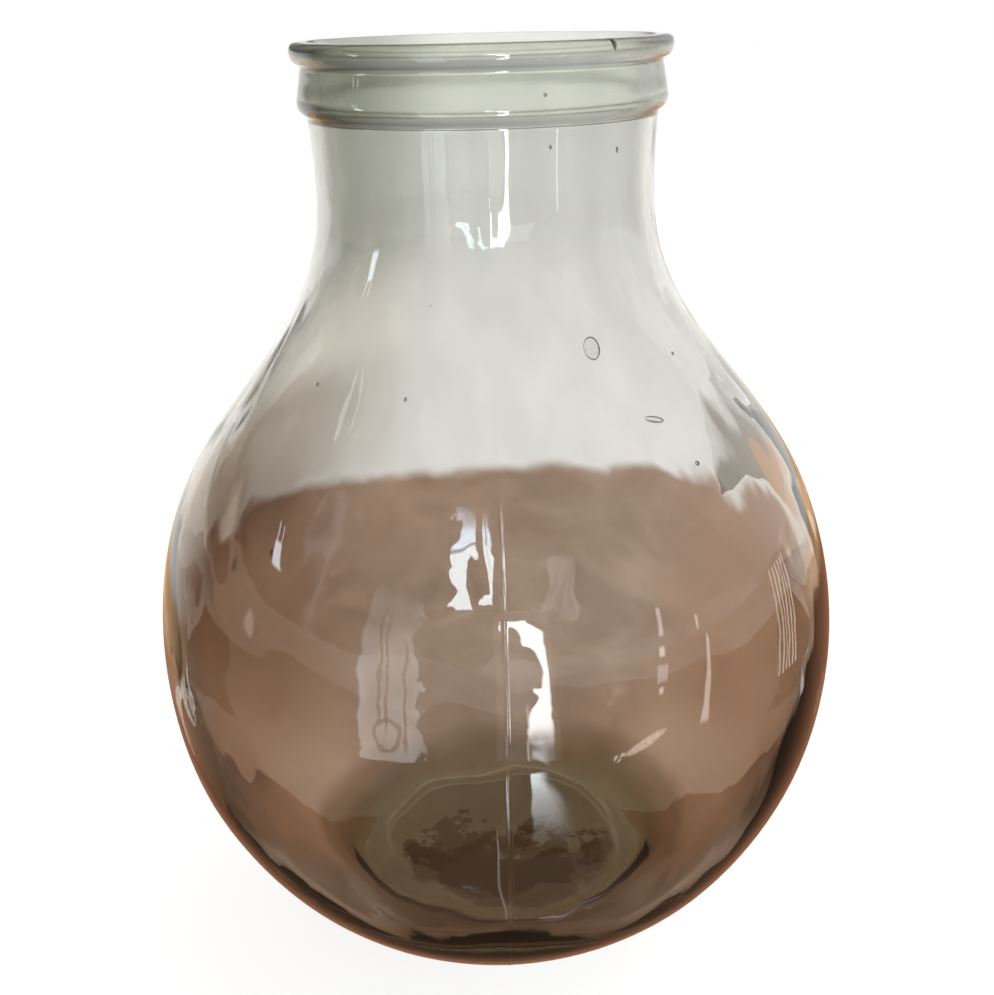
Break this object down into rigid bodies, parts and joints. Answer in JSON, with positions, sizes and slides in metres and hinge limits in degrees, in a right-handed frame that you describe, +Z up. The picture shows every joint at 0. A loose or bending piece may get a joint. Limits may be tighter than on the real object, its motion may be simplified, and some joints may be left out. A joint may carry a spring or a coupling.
{
  "type": "demijohn",
  "caption": "Wide-mouth glass demijohn: globe-shaped belly, short waisted neck, tapered collar and flat-topped lip, open at the top, standing on a foot ring round a pushed-up base.",
  "frame": {"origin": "centre of the circle the jar stands on, level with the underside of the foot ring", "axes": "+Z up along the axis of the jar, out of the mouth; X and Y level"},
  "size_m": [0.3208, 0.3208, 0.42],
  "materials": {
    "pale_glass": "clear grey-green blown glass, glossy, faintly wavy",
    "smoky_glass": "smoky rose-brown blown glass, glossy, faintly wavy"
  },
  "bodies": {
    "root": {"mouth_lip": "pale_glass", "collar": "pale_glass", "neck": "pale_glass", "neck_flare": "pale_glass", "shoulder": "pale_glass", "upper_belly": "pale_glass", "mid_belly": "smoky_glass", "lower_belly": "smoky_glass", "heel_and_foot_ring": "smoky_glass", "push_up": "smoky_glass"}
  },
  "joints": []
}
